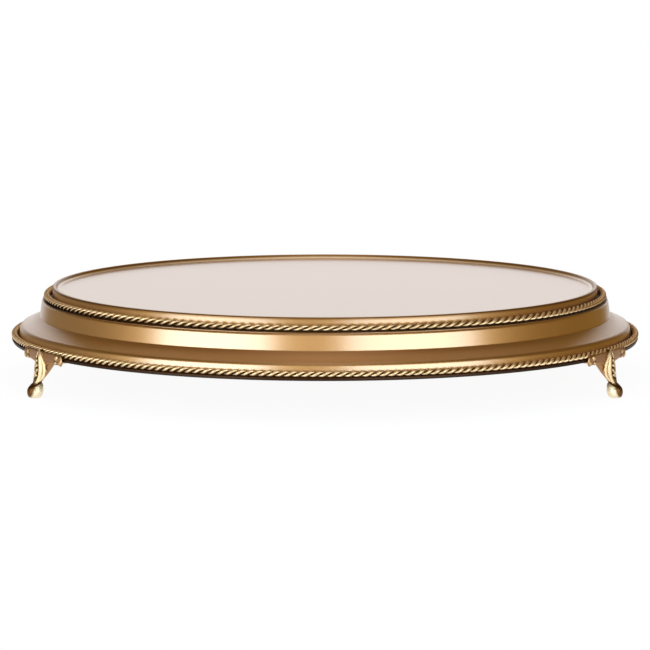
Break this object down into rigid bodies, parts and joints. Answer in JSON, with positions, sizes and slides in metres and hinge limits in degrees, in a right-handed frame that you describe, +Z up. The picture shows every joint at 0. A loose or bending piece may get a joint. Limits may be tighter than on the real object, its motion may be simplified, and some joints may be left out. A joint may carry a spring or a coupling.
{
  "type": "cake stand",
  "caption": "Low round cake stand: flat lipped deck on a stepped gold metal base with twisted rope trim, carried by cast legs with scrolled wings and paw feet.",
  "frame": {"origin": "on the stand's axis at table height, in the middle of the circle of feet", "axes": "+Z up along the stand's axis; -Y is the front, midway between two legs; +Y points to the rear leg"},
  "size_m": [0.4571, 0.4684, 0.0667],
  "materials": {
    "gold_pan": "satin",
    "rope_wire": "satin",
    "cast_leg": "satin",
    "dark_ring": "satin",
    "board": "matte",
    "zinc": "satin"
  },
  "bodies": {
    "root": {"deck_pan": "gold_pan", "deck_board": "board", "upper_rope": "rope_wire", "base_pan": "gold_pan", "lower_rope": "rope_wire", "base_ring": "dark_ring", "leg_front_left": "cast_leg", "leg_front_right": "cast_leg", "leg_rear": "cast_leg", "leg_screws": "zinc", "leg_washers": "zinc", "leg_nuts": "zinc"}
  },
  "joints": []
}
